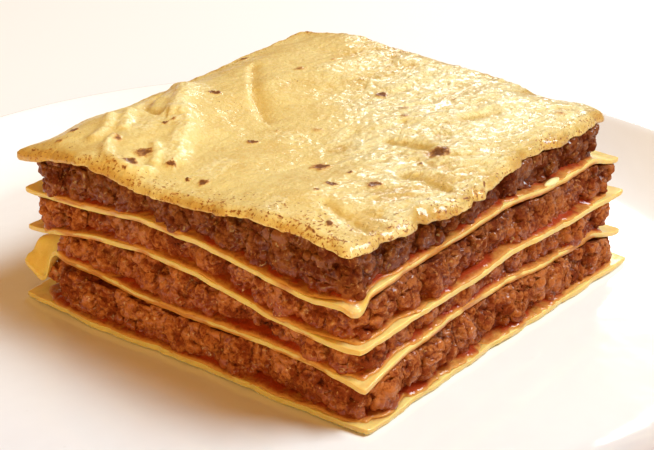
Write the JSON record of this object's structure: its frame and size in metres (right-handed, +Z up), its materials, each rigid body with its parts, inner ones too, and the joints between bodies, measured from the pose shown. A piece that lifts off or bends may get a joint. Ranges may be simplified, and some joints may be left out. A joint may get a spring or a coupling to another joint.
{
  "type": "plate of beef lasagna",
  "caption": "Square portion of baked beef lasagna with layered pasta sheets, crumbled meat sauce and a golden cheese top, on a round white plate.",
  "frame": {"origin": "on the plate's axis at the table, the centre of the bounding box's bottom", "axes": "+Z up; X and Y run along the portion's sides, with its front corner towards -X -Y"},
  "size_m": [0.266, 0.266, 0.0539],
  "materials": {
    "plate_glaze": "white gloss glaze",
    "pasta": "boiled pasta, moist satin, stained with sauce",
    "beef": "crumbled minced beef in glossy tomato sauce",
    "cheese": "baked cheese skin, golden with toasted specks"
  },
  "bodies": {
    "root": {"plate": "plate_glaze", "pasta_sheet_1": "pasta", "beef_layer_1": "beef", "pasta_sheet_2": "pasta", "beef_layer_2": "beef", "pasta_sheet_3": "pasta", "beef_layer_3": "beef", "pasta_sheet_4": "pasta", "beef_layer_4": "beef", "cheese_top": "cheese"}
  },
  "joints": []
}
